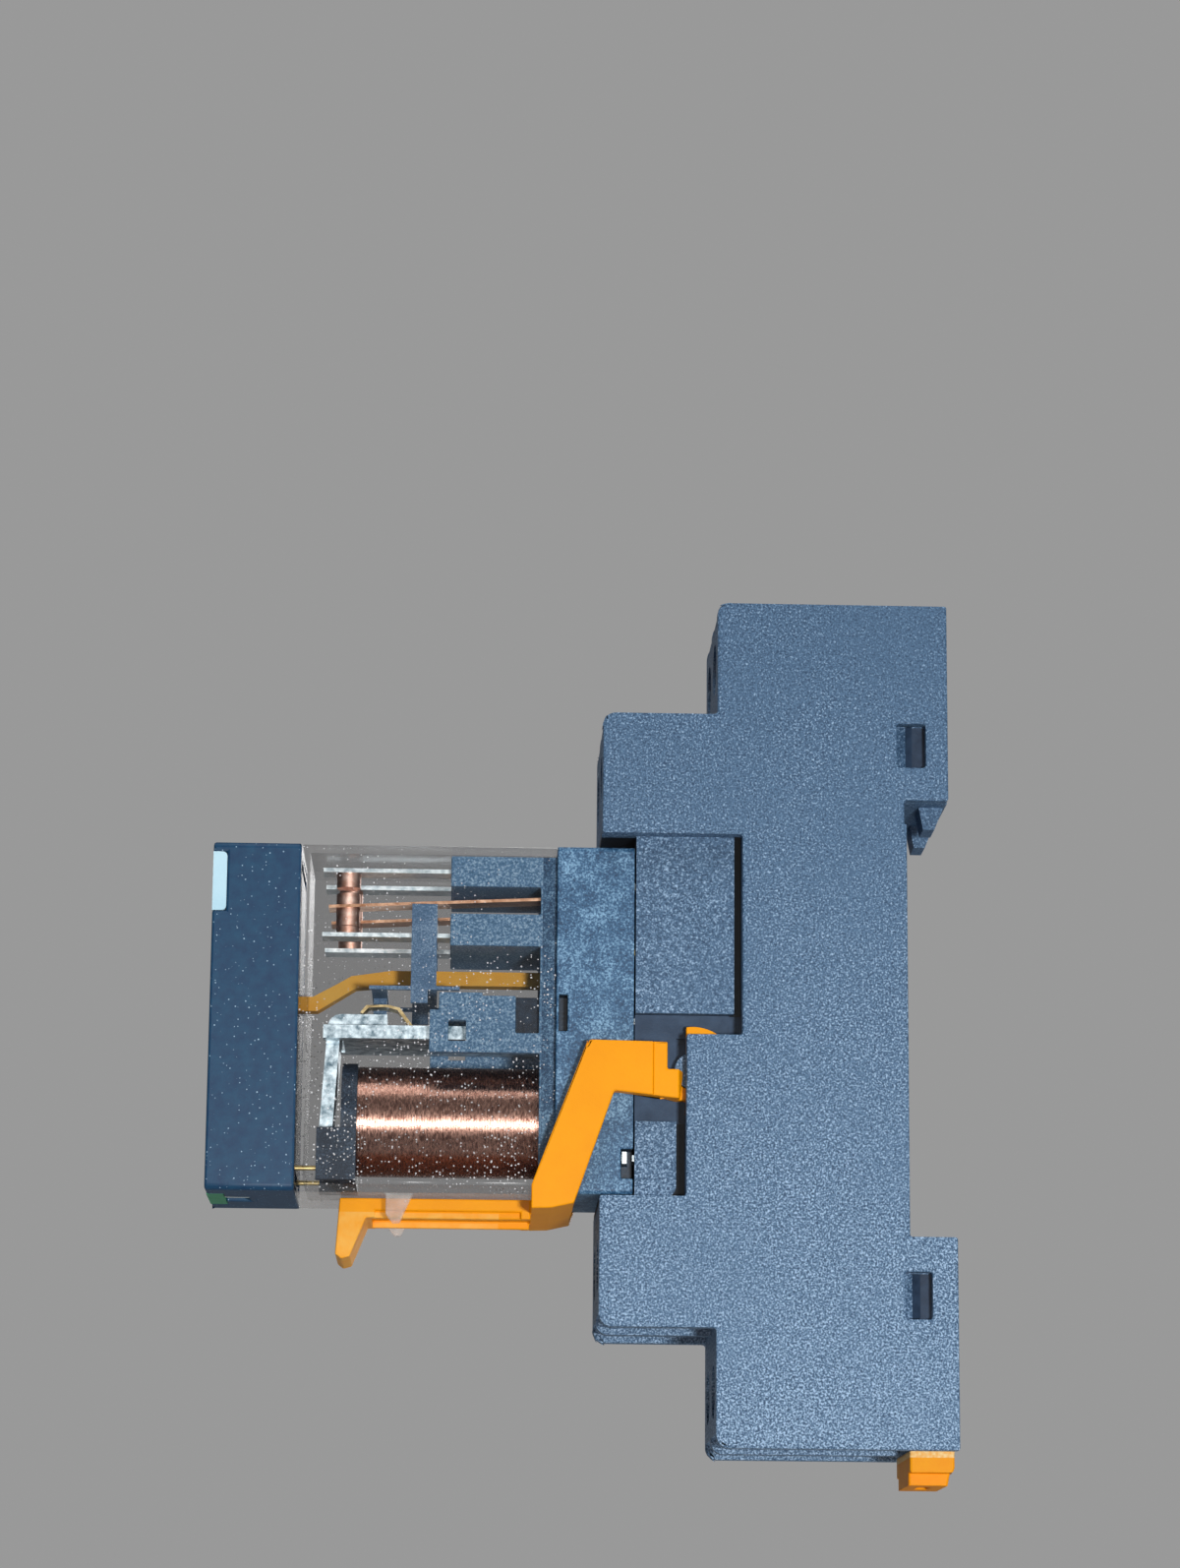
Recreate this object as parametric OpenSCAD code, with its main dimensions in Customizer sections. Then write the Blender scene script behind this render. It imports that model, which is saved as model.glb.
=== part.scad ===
// Relay socket for a 35 mm rail, with its plug-in relay.
// +X points to the rail, +Z up as mounted, Y along the rail.
// The origin is the middle of the face that lies on the rail.

/* [Socket] */
// Width of the socket along the rail
socket_w = 16; // [15.8:0.1:18]
// Thickness of each side plate
plate_t = 1.3; // [1.1:0.1:1.4]
// Thickness of the rib between the two rows of terminals
rib_t = 1.3; // [0.8:0.1:1.8]
// Height of the recess that takes the rail
rail_h = 36.4; // [36:0.1:37.2]
// Height of the head above the recess
head_h = 16.8; // [16.4:0.1:18]
// Height of the foot below the recess
foot_h = 17.2; // [16.8:0.1:18]
// How far the head stands past the rail face
head_past = 3.5; // [3.2:0.1:4.5]
// How far the foot stands past the rail face
foot_past = 3.9; // [3.7:0.1:4.5]
// Height of the outer terminal tiers
outer_tier_h = 9.65; // [9.2:0.05:10]
// Depth of the outer terminal tiers
outer_tier_d = 15.8; // [15.4:0.1:17]
// Height of the inner terminal tier above the relay well
inner_tier_h = 10.25; // [9.8:0.05:10.6]
// Depth of the inner terminal tiers
inner_tier_d = 25.35; // [25:0.05:26.5]
// Radius of the rounded corners of the side plates
corner_r = 1; // [0.5:0.1:1.5]
// How far the wire faces lie inside the side plates
wire_face_in = 1.2; // [0.8:0.1:1.6]

/* [Relay well] */
// Gap under the relay in its well
relay_under = 0.25; // [0.15:0.05:0.4]
// Gap over the relay in its well
relay_over = 0.95; // [0.6:0.05:1.2]
// Depth of body left behind the well
well_back_d = 13.7; // [13.4:0.1:14]
// Distance from the rail face to the face the relay sits on
seat_d = 22.45; // [22.2:0.05:23]
// Slot between the seat block and the side plate's edge
seat_slot = 0.6; // [0.4:0.1:0.9]
// Half width of the seat block
seat_half = 6.5; // [6.2:0.05:6.6]
// Distance from the rail face to the plate's edge over the clip hub
hub_plate_d = 18.3; // [18.1:0.1:18.5]
// Height of that plate's top edge above the well floor
hub_plate_h = 13.35; // [13:0.05:13.7]

/* [Terminals] */
// Radius of the screwdriver wells
screw_well_r = 2.2; // [2:0.1:2.4]
// Depth of the screwdriver wells
screw_well_d = 3; // [2.6:0.1:3.4]
// Radius of the screw heads
screw_head_r = 1.95; // [1.7:0.05:2]
// Radius of the screw shanks
screw_shank_r = 1.2; // [1:0.05:1.4]
// Length of the screw shanks below the head
screw_shank_l = 3.2; // [2.6:0.1:3.6]
// Width of each clamp cage
cage_w = 4.8; // [4.2:0.1:5]
// Depth of each clamp cage
cage_d = 5.4; // [5:0.1:6]
// Height of each clamp cage
cage_h = 5.2; // [4.8:0.1:5.6]
// Wall of the clamp cages
cage_t = 0.7; // [0.5:0.05:0.9]
// Side of the square wire entries
wire_hole = 3.8; // [3.4:0.1:3.9]
// Thickness of the contact strips
strip_t = 0.8; // [0.6:0.05:1]
// Width of the contact strips
strip_w = 2; // [1.6:0.1:2.4]

/* [Retaining clip] */
// Distance from the rail face to the clip's pivot
pivot_d = 17.7; // [17.5:0.05:17.9]
// Height of the pivot above the well floor
pivot_h = 10.5; // [10.2:0.1:10.8]
// Radius of the clip's hub
hub_r = 3.7; // [3.4:0.05:3.8]
// Thickness of the hub
hub_t = 1; // [0.8:0.05:1.05]
// Radius of the bosses that the hub turns on
boss_r = 1.5; // [1.2:0.05:1.8]
// Thickness of the clip's arms
arm_t = 1.2; // [1:0.05:1.25]
// Width of the bar under the relay
bar_w = 8; // [7:0.1:8.2]
// Height of the bar under the relay
bar_h = 1.6; // [1.4:0.1:2]
// Thickness of the floor that joins the arms
floor_t = 1.15; // [0.9:0.05:1.3]
// Length of the bar in front of the arms
bar_l = 16; // [15:0.1:17]
// How far the thumb tab hangs below the bar
tab_h = 3.4; // [2.8:0.1:4]

/* [Relay] */
// Width of the relay
relay_w = 13; // [12.8:0.05:13.2]
// Height of the relay
relay_h = 29; // [28.8:0.05:29.2]
// Depth of the relay's base
base_d = 6.4; // [6.2:0.1:6.8]
// Depth of the clear cover
cover_d = 21.3; // [21:0.1:22]
// Depth of the front cap
cap_d = 7.3; // [6.8:0.1:8]
// Wall of the clear cover
cover_t = 0.7; // [0.6:0.05:0.75]
// Wall of the front cap
cap_t = 1; // [0.8:0.05:1.2]
// Length of the relay's blades outside its base
blade_l = 5; // [4.6:0.1:5.2]
// Thickness of the relay's blades
blade_t = 0.5; // [0.4:0.05:0.6]
// Width of the relay's blades
blade_w = 2.3; // [2:0.1:2.4]
// Radius of the coil
coil_r = 4.6; // [4.3:0.05:4.7]
// Length of the coil
coil_l = 16; // [15.6:0.1:16.2]
// Radius of the coil's core
core_r = 1.5; // [1.3:0.05:1.8]
// Thickness of the bobbin's rear flange
flange_t = 0.8; // [0.6:0.05:0.9]
// Thickness of the bobbin's front flange
front_flange_t = 1.3; // [1:0.05:1.4]
// Thickness of the yoke
yoke_t = 1.1; // [1:0.05:1.3]
// Thickness of the armature
armature_t = 1.1; // [0.9:0.05:1.2]
// How far the armature's leg leans out at rest, in degrees
armature_rest = 3.5; // [3.5:0.1:4]
// Gap left at the core's pole when the armature is pulled in
pole_gap = 0.15; // [0.1:0.05:0.2]
// Radius of the contact rivets
rivet_r = 1; // [0.8:0.05:1.1]
// Gap of the open contact
contact_gap = 0.5; // [0.45:0.05:0.6]

/* [Fits] */
// Clearance between moving mouldings
run_gap = 0.15; // [0.12:0.01:0.2]
// Clearance round metal strips and blades
strip_gap = 0.05; // [0.03:0.01:0.08]
// Radial clearance of the clip's hub on its boss
hub_gap = 0.06; // [0.03:0.01:0.1]
// Clearance between the clip's arms and the relay
arm_gap = 0.3; // [0.25:0.05:0.35]
// Gap between the relay's base and its seat
seat_gap = 0.15; // [0.1:0.05:0.3]

/* [Hidden] */

fine = 48;
coarse = 24;
eps = 0.02;

// Socket levels
head_top = rail_h / 2 + head_h;
foot_bottom = -rail_h / 2 - foot_h;
tier_top = head_top - outer_tier_h;
well_top = tier_top - inner_tier_h;
well_h = relay_h + relay_under + relay_over;
well_floor = well_top - well_h;
jaw_bottom = foot_bottom + outer_tier_h;
hub_plate_top = well_floor + hub_plate_h;
core_half = socket_w / 2 - plate_t;

// Terminals: each row is one side of the rib
row_y = (core_half + rib_t / 2) / 2;
screw_recess = 1.4;
well_web = 0.6;
outer_cage_x = -outer_tier_d + screw_well_d + well_web + cage_d / 2;
inner_cage_x = -inner_tier_d + screw_well_d + well_web + cage_d / 2;
screw_tip = screw_well_d + screw_shank_l - 0.4;
// Front face, screw level, cage centre and wire side of each tier
tiers = [
  [-outer_tier_d, (head_top + tier_top) / 2, outer_cage_x, 1],
  [-inner_tier_d, (tier_top + well_top) / 2, inner_cage_x, 1],
  [-inner_tier_d, (well_floor + jaw_bottom) / 2, inner_cage_x, -1],
  [-outer_tier_d, (jaw_bottom + foot_bottom) / 2, outer_cage_x, -1]];
wire_faces = [head_top, tier_top, jaw_bottom, foot_bottom];

// Relay place
relay_z = well_floor + relay_under + relay_h / 2;
relay_half = relay_w / 2;
base_back = -seat_d - seat_gap;
base_front = base_back - base_d;
cover_front = base_front - cover_d;
cap_front = cover_front - cap_d;
inner_half = relay_half - cover_t;

// Levels of the relay's blades: make, common, break and coil
make_z = relay_z + 11.5;
common_z = relay_z + 5.9;
break_z = relay_z + 0.1;
coil_z = relay_z - 11.3;
blade_levels = [make_z, common_z, break_z, coil_z];
blade_end = base_back + blade_l;
// Where each strip turns towards its terminal
strip_apart = 1;
outer_run = -outer_tier_d + screw_tip + strip_w / 2;
inner_run = outer_run - strip_w - strip_apart;
strip_runs = [inner_run, outer_run, outer_run, inner_run];
strip_tiers = [1, 0, 3, 2];

// Contacts
contact_t = 0.35;
moving_t = 0.25;
make_strip_z = relay_z + 12.55;
break_strip_z = make_strip_z - 5.45;
rivet_h = 1.2;
moving_head = 1;
rivet_x = cover_front + 3.9;
strip_front = cover_front + 1.8;
flex_x = base_front + 0.45;
break_face = break_strip_z + contact_t / 2 + rivet_h / 2;
// Middle of the moving blade at its root and at its rivet
root_z = relay_z + 10.4;
moving_top = make_strip_z - contact_t / 2 - rivet_h - contact_gap;
moving_z = moving_top - moving_head - moving_t / 2;
comb_front = base_front - 8.85;

// Coil and iron
coil_axis_z = relay_z - 7.9;
coil_back = base_front - 0.35;
coil_front = coil_back - coil_l;
flange_front = coil_front - front_flange_t;
pole_x = flange_front - 0.05;
yoke_top = relay_z - 0.45;
leg_x = pole_x - pole_gap;
yoke_front = leg_x - armature_t - 0.3;
tilt_z = yoke_top + 0.05;

// Clip
pivot_x = -pivot_d;
pivot_z = well_floor + pivot_h;
arm_in = relay_half + arm_gap;
arm_out = arm_in + arm_t;
hub_out = core_half - run_gap;
hub_in = hub_out - hub_t;
bar_top = relay_z - relay_h / 2 - 0.25;
bar_back = -27.4;
bar_root = -30.9;
bar_front = bar_root - bar_l;

// A flat shape in X and Z, given thickness from y0 to y1
module slab(y0, y1) {
  translate([0, y1, 0]) rotate([90, 0, 0]) linear_extrude(height = y1 - y0) children();
}

// A plain block between two corners
module block(x0, x1, y0, y1, z0, z1) {
  translate([x0, y0, z0]) cube([x1 - x0, y1 - y0, z1 - z0]);
}

module both_sides() {
  children();
  mirror([0, 1, 0]) children();
}

// What a rounded corner takes off; sx and sz point out of the solid
module corner_off(x, z, sx, sz, r) {
  s = r + eps;
  translate([x - sx * r, z - sz * r]) difference() {
    translate([sx > 0 ? 0 : -s, sz > 0 ? 0 : -s]) square(s);
    circle(r, $fn = coarse);
  }
}

// Side view of the socket; d pulls the wire faces in
module socket_outline(d = 0) {
  polygon([[head_past, head_top - d], [-outer_tier_d, head_top - d], [-outer_tier_d, tier_top - d],
    [-inner_tier_d, tier_top - d], [-inner_tier_d, well_top], [-well_back_d, well_top],
    [-well_back_d, hub_plate_top], [-hub_plate_d, hub_plate_top], [-hub_plate_d, well_floor],
    [-inner_tier_d, well_floor], [-inner_tier_d, jaw_bottom + d], [-outer_tier_d, jaw_bottom + d],
    [-outer_tier_d, foot_bottom + d], [foot_past, foot_bottom + d], [foot_past, -rail_h / 2],
    [0, -rail_h / 2], [0, rail_h / 2 - hook_h - 0.1], [-0.2, rail_h / 2 - hook_h - 0.1],
    [-0.2, rail_h / 2], [head_past, rail_h / 2]]);
}

module plate_outline() {
  difference() {
    socket_outline();
    corner_off(-outer_tier_d, head_top, -1, 1, corner_r);
    corner_off(-inner_tier_d, tier_top, -1, 1, corner_r);
    corner_off(-inner_tier_d, jaw_bottom, -1, -1, corner_r);
    corner_off(-outer_tier_d, foot_bottom, -1, -1, corner_r);
  }
}

// Snap windows in the side plates: low x, high x, low z, high z
snap_windows = [[-0.8, 1.65, 21, 24.75], [-0.5, 1.8, -24.9, -21.05]];

module side_plate() {
  slab(core_half, socket_w / 2) difference() {
    plate_outline();
    for (w = snap_windows) translate([w[0], w[2]]) square([w[1] - w[0], w[3] - w[2]]);
  }
}

// Zone in the body that leaves room for the clip's hubs
hub_zone_top = hub_plate_top + 1.95;
hub_zone_bottom = pivot_z - hub_r - 0.5;
hub_floor = hub_in - run_gap;
hub_pocket = 0.9;
// The lower seat block ends a little further from the plate's edge
low_seat_edge = -hub_plate_d - seat_slot - 0.15;
// Depth of the slots between the seat and the plates, from the middle
slot_in = 5.05;

// Seat block of the well, above and below the hub zone
module seat_outline() {
  difference() {
    union() {
      translate([-seat_d, hub_zone_top])
        square([seat_d - well_back_d - seat_slot, well_top - hub_zone_top]);
      translate([-seat_d, well_floor])
        square([seat_d + low_seat_edge, hub_zone_bottom - well_floor]);
    }
    corner_off(low_seat_edge, well_floor, 1, -1, corner_r);
  }
}

// Side view of the slots between the seat blocks and the plates' edges
module slot_outline() {
  translate([-well_back_d - seat_slot, hub_zone_top]) square([seat_slot, well_top + 1 - hub_zone_top]);
  translate([-well_back_d - seat_slot - 0.35, hub_plate_top])
    square([seat_slot + 0.35, hub_zone_top + eps - hub_plate_top]);
  translate([low_seat_edge, well_floor - 1])
    square([-hub_plate_d - low_seat_edge, hub_plate_top + 1 - well_floor]);
}

module strip_plan(i, g = 0) {
  z = blade_levels[i];
  tier = tiers[strip_tiers[i]];
  run = strip_runs[i];
  h = strip_w / 2 + g;
  start = -seat_d + 1;
  cage_x = tier[2];
  translate([start - g, z - h]) square([run - start + h + g, 2 * h]);
  translate([run - h, min(z, tier[1]) - h]) square([2 * h, abs(tier[1] - z) + 2 * h]);
  translate([cage_x + cage_d / 2 - cage_t - 0.9, tier[1] - h])
    square([run - cage_x - cage_d / 2 + cage_t + 0.9 + h, 2 * h]);
}

module fork_slot(i, g = 0) {
  h = blade_t / 2 + strip_gap + g;
  translate([-seat_d - 1, blade_levels[i] - h])
    square([blade_end + 0.4 + seat_d + 1, 2 * h]);
}

module contact_strips() color([0.72, 0.66, 0.5]) {
  both_sides() for (i = [0:3])
    slab(row_y - strip_t / 2, row_y + strip_t / 2) difference() {
      strip_plan(i);
      fork_slot(i);
    }
}

// Room for screws, cages, wires, strips and blades on one side of the rib
module terminal_room() {
  for (t = tiers) {
    translate([t[0] - eps, row_y, t[1]]) rotate([0, 90, 0])
      cylinder(r = screw_well_r, h = screw_well_d + well_web + 2 * eps, $fn = coarse);
    block(t[2] - cage_d / 2 - strip_gap, t[2] + cage_d / 2 + strip_gap,
      row_y - cage_w / 2 - strip_gap, row_y + cage_w / 2 + strip_gap,
      t[1] - cage_h / 2 - strip_gap, t[1] + cage_h / 2 + strip_gap);
    block(t[2] - wire_hole / 2, t[2] + wire_hole / 2, row_y - wire_hole / 2,
      row_y + wire_hole / 2, t[3] > 0 ? t[1] : t[1] - outer_tier_h,
      t[3] > 0 ? t[1] + outer_tier_h : t[1]);
  }
  for (i = [0:3]) {
    slab(row_y - strip_t / 2 - strip_gap, row_y + strip_t / 2 + strip_gap)
      strip_plan(i, strip_gap);
    slab(row_y - blade_w / 2 - strip_gap, row_y + blade_w / 2 + strip_gap)
      fork_slot(i, 0.05);
  }
}

// Channel in the foot for the rail clip: wide inner groove, narrow mouth
rail_clip_half = 3.9;
rail_clip_neck = 2.9;
rail_clip_in = 1.4;
rail_clip_step = 2.4;
rail_clip_out = 3.7;

module rail_clip_plan(g = 0) {
  translate([rail_clip_in - g, -rail_clip_half - g])
    square([rail_clip_step - rail_clip_in + 2 * g, 2 * (rail_clip_half + g)]);
  translate([rail_clip_step - g, -rail_clip_neck - g])
    square([rail_clip_out - rail_clip_step + g + (g > 0 ? 2 : 0), 2 * (rail_clip_neck + g)]);
}

rail_clip_top = -rail_h / 2 - 0.15;
rail_tab_room = 3.2;

// Fixed hook that hangs on the rail's upper edge
hook_half_w = 1.55;
hook_y = 3.65;
hook_h = 1.9;

module rail_hook() {
  slab(hook_y - hook_half_w, hook_y + hook_half_w)
    polygon([[1.3, rail_h / 2 + 1], [1.3, rail_h / 2], [1.65, rail_h / 2 - hook_h],
      [2.6, rail_h / 2 - hook_h], [head_past - 0.1, rail_h / 2 + 0.1], [head_past - 0.1, rail_h / 2 + 1]]);
}

module socket_body() color([0.25, 0.34, 0.44]) {
  difference() {
    union() {
      difference() {
        union() {
          slab(-core_half, core_half) difference() {
            socket_outline(wire_face_in);
            translate([-hub_plate_d - 1, hub_zone_bottom])
              square([hub_plate_d + 1 - well_back_d + hub_pocket, hub_zone_top - hub_zone_bottom]);
          }
          slab(-hub_floor, hub_floor) translate([-seat_d, well_floor])
            square([seat_d - well_back_d + hub_pocket + 1, well_top - well_floor]);
          slab(-seat_half, seat_half) seat_outline();
        }
        both_sides() slab(slot_in, core_half + 1) slot_outline();
      }
      slab(-rib_t / 2, rib_t / 2) plate_outline();
      both_sides() rail_hook();
      both_sides() translate([pivot_x, 0, pivot_z]) rotate([-90, 0, 0])
        cylinder(r = boss_r, h = hub_out, $fn = fine);
      both_sides() for (w = snap_windows) translate([0, 0, w[2] + 0.15])
        linear_extrude(height = w[3] - w[2] - 0.3)
          polygon([[w[0] + 0.15, core_half - 0.2], [w[0] + 0.15, core_half],
            [w[0] + 1.3, core_half + 0.8], [w[0] + 1.3, core_half - 0.2]]);
    }
    both_sides() terminal_room();
    translate([0, 0, foot_bottom]) linear_extrude(height = foot_h + 2) rail_clip_plan(run_gap);
    block(-0.4, foot_past + 1, -rail_clip_half - 1.4, rail_clip_half + 1.4,
      foot_bottom - 1, foot_bottom + rail_tab_room);
  }
}

module near_side_plate() color([0.27, 0.37, 0.48]) mirror([0, 1, 0]) side_plate();

module far_side_plate() color([0.27, 0.37, 0.48]) side_plate();

// Flats that stand for a screw's thread
function flats(r, n = 12) = [for (i = [0:n - 1]) [r * cos(360 * i / n), r * sin(360 * i / n)]];

screw_slot = 0.6;
screw_slot_d = 0.9;

module terminal_screws() color([0.75, 0.76, 0.78]) {
  reach = 2 * screw_head_r + 2;
  shank_top = screw_slot_d + 0.2;
  both_sides() for (t = tiers) translate([t[0] + screw_recess, row_y, t[1]]) rotate([0, 90, 0]) {
    difference() {
      cylinder(r = screw_head_r, h = screw_well_d + well_web - screw_recess, $fn = coarse);
      translate([-screw_slot / 2, -reach / 2, -1]) cube([screw_slot, reach, 1 + screw_slot_d]);
      translate([-reach / 2, -screw_slot / 2, -1]) cube([reach, screw_slot, 1 + screw_slot_d]);
    }
    translate([0, 0, shank_top]) linear_extrude(height = screw_tip - screw_recess - shank_top)
      polygon(flats(screw_shank_r));
  }
}

module clamp_cages() color([0.78, 0.75, 0.62]) {
  both_sides() for (t = tiers) difference() {
    block(t[2] - cage_d / 2, t[2] + cage_d / 2, row_y - cage_w / 2, row_y + cage_w / 2,
      t[1] - cage_h / 2, t[1] + cage_h / 2);
    block(t[2] - cage_d / 2 + cage_t, t[2] + cage_d / 2 - cage_t, row_y - cage_w / 2 + cage_t,
      row_y + cage_w / 2 - cage_t, t[1] - cage_h, t[1] + cage_h);
    translate([t[2] - cage_d / 2 - eps, row_y, t[1]]) rotate([0, 90, 0])
      linear_extrude(height = cage_t + 2 * eps) polygon(flats(screw_shank_r + strip_gap));
    block(t[2], t[2] + cage_d, row_y - strip_t / 2 - strip_gap, row_y + strip_t / 2 + strip_gap,
      t[1] - strip_w / 2 - strip_gap, t[1] + strip_w / 2 + strip_gap);
  }
}

module rail_clip() color([0.98, 0.62, 0.05]) {
  tab_top = foot_bottom + 0.2;
  difference() {
    union() {
      translate([0, 0, tab_top - 0.5]) linear_extrude(height = rail_clip_top - tab_top + 0.5)
        rail_clip_plan();
      slab(-5.2, 5.2) polygon([[0.1, tab_top], [0.1, tab_top - 1.8], [3.6, tab_top - 1.8],
        [3.75, tab_top - 1.4], [3.75, tab_top]]);
      slab(-4, 4) polygon([[0.1, tab_top - 1], [0.1, tab_top - 2.8], [3.3, tab_top - 2.8],
        [3.5, tab_top - 1.8], [3.5, tab_top - 1]]);
    }
    // Lead-in that rides over the rail's edge
    slab(-5, 5) polygon([[rail_clip_out + eps, rail_clip_top - 1.6],
      [rail_clip_out + eps, rail_clip_top + eps], [rail_clip_out - 1, rail_clip_top + eps]]);
    // Slot for a screwdriver
    block(1.2, 2.2, -1.8, 1.8, tab_top - 4, tab_top - 1.2);
  }
}

// Side view of one arm of the retaining clip
module arm_outline() {
  difference() {
    polygon([[pivot_x - 8.7, pivot_z + 2.3], [pivot_x - 2.16, pivot_z + 2.2],
      [pivot_x - 1.82, pivot_z - 0.1], [pivot_x - 1.35, pivot_z - 0.05],
      [pivot_x - 1.35, pivot_z - 2.45], [pivot_x - 6.5, pivot_z - 1.9],
      [bar_back, bar_top - 0.6], [bar_back - 0.1, bar_top - 0.7], [bar_back - 1.9, bar_top - floor_t + 0.05],
      [bar_root, bar_top - floor_t], [bar_root, bar_top + 0.8]]);
    corner_off(pivot_x - 8.7, pivot_z + 2.3, -1, 1, 0.4);
  }
}

// Left edge of the hub, just behind the side plate's edge
hub_edge = pivot_x - 0.55;

// Seen from above: the neck steps in to pass behind the side plate
module neck_plan() {
  polygon([[pivot_x - 3.3, arm_in], [pivot_x - 3.3, arm_out - 0.15], [pivot_x - 1.2, arm_out - 0.15],
    [pivot_x - 0.8, hub_out], [pivot_x, hub_out], [pivot_x, hub_in],
    [pivot_x - 1.5, hub_in], [pivot_x - 2.6, arm_in]]);
}

module clip_side() {
  difference() {
    union() {
      // Arm, set in a little behind its step line
      slab(arm_in, arm_out) intersection() {
        arm_outline();
        translate([bar_root - 1, bar_top - bar_h - 1]) square([pivot_x - 3.3 - bar_root + 1, 40]);
      }
      intersection() {
        slab(arm_in, arm_out - 0.15) arm_outline();
        block(pivot_x - 3.3, pivot_x - 2.15, arm_in, arm_out, pivot_z - 2.6, pivot_z + 3);
      }
      intersection() {
        translate([0, 0, pivot_z - 3]) linear_extrude(height = 2.95) neck_plan();
        slab(hub_in - 1, arm_out + 1) polygon([[pivot_x - 3.4, pivot_z], [pivot_x + 1, pivot_z],
          [pivot_x + 1, pivot_z - 2.45], [pivot_x - 1.35, pivot_z - 2.45],
          [pivot_x - 3.4, pivot_z - 2.23]]);
      }
      slab(hub_in, hub_out) intersection() {
        translate([pivot_x, pivot_z]) circle(hub_r, $fn = fine);
        translate([hub_edge, pivot_z - 2 * hub_r]) square([3 * hub_r, 4 * hub_r]);
      }
    }
    // Lets the neck swing past the side plate's edge
    slab(hub_out, arm_out + 1) polygon([[pivot_x - 0.78, pivot_z], [pivot_x - 1.12, pivot_z - 2.5],
      [pivot_x + 1, pivot_z - 2.5], [pivot_x + 1, pivot_z]]);
    translate([pivot_x, 0, pivot_z]) rotate([-90, 0, 0])
      cylinder(r = boss_r + hub_gap, h = hub_out + hub_gap, $fn = fine);
  }
}

module retaining_clip() color([1, 0.67, 0.07]) {
  both_sides() clip_side();
  // Floor that joins the arms under the relay
  slab(-arm_in - eps, arm_in + eps) polygon([[bar_back, bar_top - 0.6], [bar_back - 0.1, bar_top - 0.7],
    [bar_back - 1.9, bar_top - floor_t + 0.05], [bar_root, bar_top - floor_t], [bar_root, bar_top],
    [bar_back - 0.6, bar_top]]);
  // Channel-shaped bar with its thumb tab
  difference() {
    slab(-bar_w / 2, bar_w / 2) polygon([[bar_root + eps, bar_top], [bar_root + eps, bar_top - bar_h],
      [bar_front + 2.5, bar_top - bar_h], [bar_front + 1.2, bar_top - bar_h - tab_h + 0.2],
      [bar_front + 0.5, bar_top - bar_h - tab_h], [bar_front, bar_top - bar_h - tab_h + 0.4],
      [bar_front + 0.3, bar_top]]);
    slab(-bar_w / 2 + 0.9, bar_w / 2 - 0.9) polygon([[bar_root + 1, bar_top - 1],
      [bar_root + 1, bar_top - bar_h - 1], [bar_front + 2.9, bar_top - bar_h - 1],
      [bar_front + 2.9, bar_top - 1]]);
    both_sides() slab(bar_w / 2 - 0.35, bar_w / 2 + 1) translate([bar_front + 3.2, bar_top - bar_h - 1])
      square([bar_root - bar_front - 4, bar_h]);
  }
}

// Relay section with rounded edges, run along X
module relay_block(x0, x1, half_y, half_z, r) {
  translate([x0, 0, relay_z]) rotate([90, 0, 90]) linear_extrude(height = x1 - x0)
    difference() {
      translate([-half_y, -half_z]) square([2 * half_y, 2 * half_z]);
      if (r > 0) for (s = [-1, 1], t = [-1, 1]) corner_off(s * half_y, t * half_z, s, t, r);
    }
}

// Strip seen from the side: contact end, bend inside the base, blade end
module strip_path(x0, z0, t0, z1, g = 0) {
  a = base_front + 1.6;
  b = base_back - 1.9;
  h0 = t0 / 2 + g;
  h1 = blade_t / 2 + g;
  polygon([[x0, z0 - h0], [a, z0 - h0], [b, z1 - h1], [blade_end, z1 - h1],
    [blade_end, z1 + h1], [b, z1 + h1], [a, z0 + h0], [x0, z0 + h0]]);
}

module strip_pair(x0, z0, t0, z1, g = 0) {
  both_sides() slab(row_y - blade_w / 2 - g, row_y + blade_w / 2 + g)
    strip_path(x0, z0, t0, z1, g);
}

module make_contact_strips() color([0.82, 0.66, 0.42])
  strip_pair(strip_front, make_strip_z, contact_t, make_z);

module break_contact_strips() color([0.82, 0.66, 0.42])
  strip_pair(strip_front, break_strip_z, contact_t, break_z);

module common_blades() color([0.82, 0.66, 0.42])
  strip_pair(flex_x + 0.2, root_z, contact_t, common_z);

coil_blade_x = coil_back + flange_t + 0.05;

module coil_blade_shape(g = 0) {
  block(coil_blade_x - g, blade_end, row_y - blade_w / 2 - g, row_y + blade_w / 2 + g,
    coil_z - blade_t / 2 - g, coil_z + blade_t / 2 + g);
  // Shoulder that shows in the corner notch
  block(base_back - 0.85 - g, base_back - 0.5 + g, row_y - g, relay_half - 0.5 + g,
    coil_z - 0.6 - g, coil_z + 0.35 + g);
}

module coil_blades() color([0.8, 0.78, 0.72]) both_sides() coil_blade_shape();

module rivet(z0, z1) {
  translate([rivet_x, row_y, z0]) cylinder(r = rivet_r, h = z1 - z0, $fn = coarse);
}

module fixed_rivets() color([0.85, 0.55, 0.42]) both_sides() {
  rivet(make_strip_z - contact_t / 2 - rivet_h, make_strip_z - contact_t / 2);
  rivet(break_strip_z + contact_t / 2, break_face);
}

moving_half = 1.1;
moving_past = 1.6;

moving_slope = (root_z - moving_z) / (flex_x - rivet_x);

// Middle of the moving blade at a place along it
function blade_z(x) = root_z - moving_slope * (flex_x - x);

// The moving blades droop from their roots towards the contacts
module moving_blade_pair() both_sides() slab(row_y - moving_half, row_y + moving_half) {
  tip = rivet_x - moving_past;
  h = moving_t / 2;
  polygon([[tip, blade_z(tip) - h], [flex_x, root_z - h], [flex_x, root_z + h], [tip, blade_z(tip) + h]]);
}

module moving_blades() color([0.8, 0.5, 0.33]) moving_blade_pair();

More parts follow.
